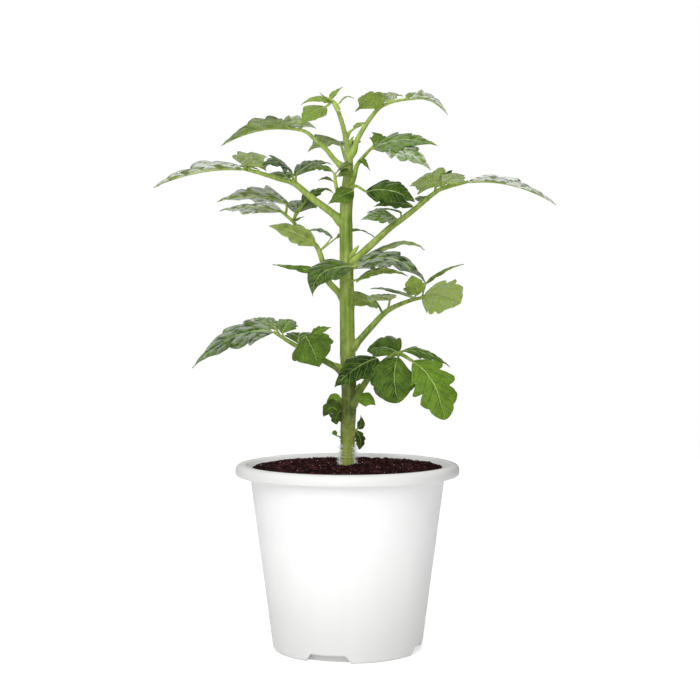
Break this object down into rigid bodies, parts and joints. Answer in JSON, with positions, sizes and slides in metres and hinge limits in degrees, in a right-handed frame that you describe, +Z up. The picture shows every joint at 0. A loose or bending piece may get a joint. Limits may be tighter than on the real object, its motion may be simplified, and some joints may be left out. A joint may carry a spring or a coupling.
{
  "type": "tomato plant in a pot",
  "caption": "Young tomato plant with lobed compound leaves on one upright stem, rooted in potting mix that fills a plain white round nursery pot with a rolled rim.",
  "frame": {"origin": "middle of the pot's flat base, on the surface that it stands on", "axes": "+Z up along the pot's axis and the stem, +X to the right and -Y towards the viewer, with the lower leaf of longest reach pointing to -X"},
  "size_m": [0.2494, 0.14, 0.3514],
  "materials": {
    "pot_plastic": "satin",
    "potting_mix": "matte",
    "stem_skin": "satin",
    "foliage": "satin"
  },
  "bodies": {
    "root": {"pot": "pot_plastic", "soil": "potting_mix", "main_stem": "stem_skin", "leaf_lower_right": "foliage", "leaf_lower_left": "foliage", "leaf_middle_right": "foliage", "leaf_middle_left": "foliage", "leaf_front": "foliage", "leaf_upper_right": "foliage", "leaf_upper_left": "foliage", "leaf_front_upper": "foliage", "side_shoot": "foliage", "leaf_front_right": "foliage", "leaf_top_left": "foliage", "leaf_back": "foliage", "leaf_top_right": "foliage", "leaf_back_small": "foliage", "growing_tip": "foliage", "basal_leaves_left": "foliage", "basal_leaf_right": "foliage"}
  },
  "joints": []
}
